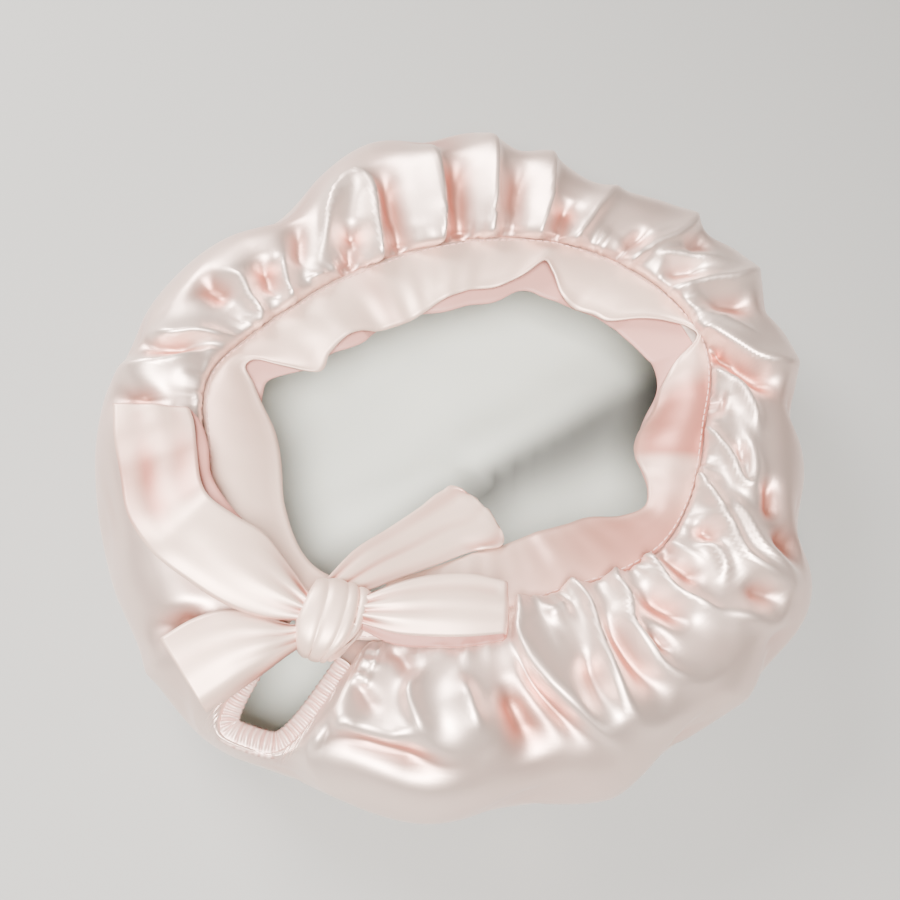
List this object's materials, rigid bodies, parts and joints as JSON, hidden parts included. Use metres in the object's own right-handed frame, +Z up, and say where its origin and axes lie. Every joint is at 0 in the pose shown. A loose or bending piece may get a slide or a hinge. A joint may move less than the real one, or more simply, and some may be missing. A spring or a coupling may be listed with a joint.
{
  "type": "sleep bonnet",
  "caption": "Gathered satin sleep bonnet lying crown down with its head opening up, a ribbon band round the opening, a short nape elastic and a tied bow.",
  "frame": {"origin": "middle of the bonnet's footprint, on the surface that its crown rests on", "axes": "+Z up, out of the head opening; +X and +Y in the plane of the surface, with the bow at the nape on the side towards -X and -Y"},
  "size_m": [0.2558, 0.2599, 0.0666],
  "materials": {
    "blush_satin": "glossy pale pink silk satin, matte grey-white reverse inside",
    "pink_ribbon": "smooth pink satin ribbon with an even topstitch",
    "ruched_satin": "finely puckered satin casing over elastic"
  },
  "bodies": {
    "root": {"crown": "blush_satin", "band": "pink_ribbon", "nape_elastic": "ruched_satin", "bow_knot": "pink_ribbon", "bow_loop_left": "pink_ribbon", "bow_loop_right": "pink_ribbon", "bow_tail_left": "pink_ribbon", "bow_tail_right": "pink_ribbon"}
  },
  "joints": []
}
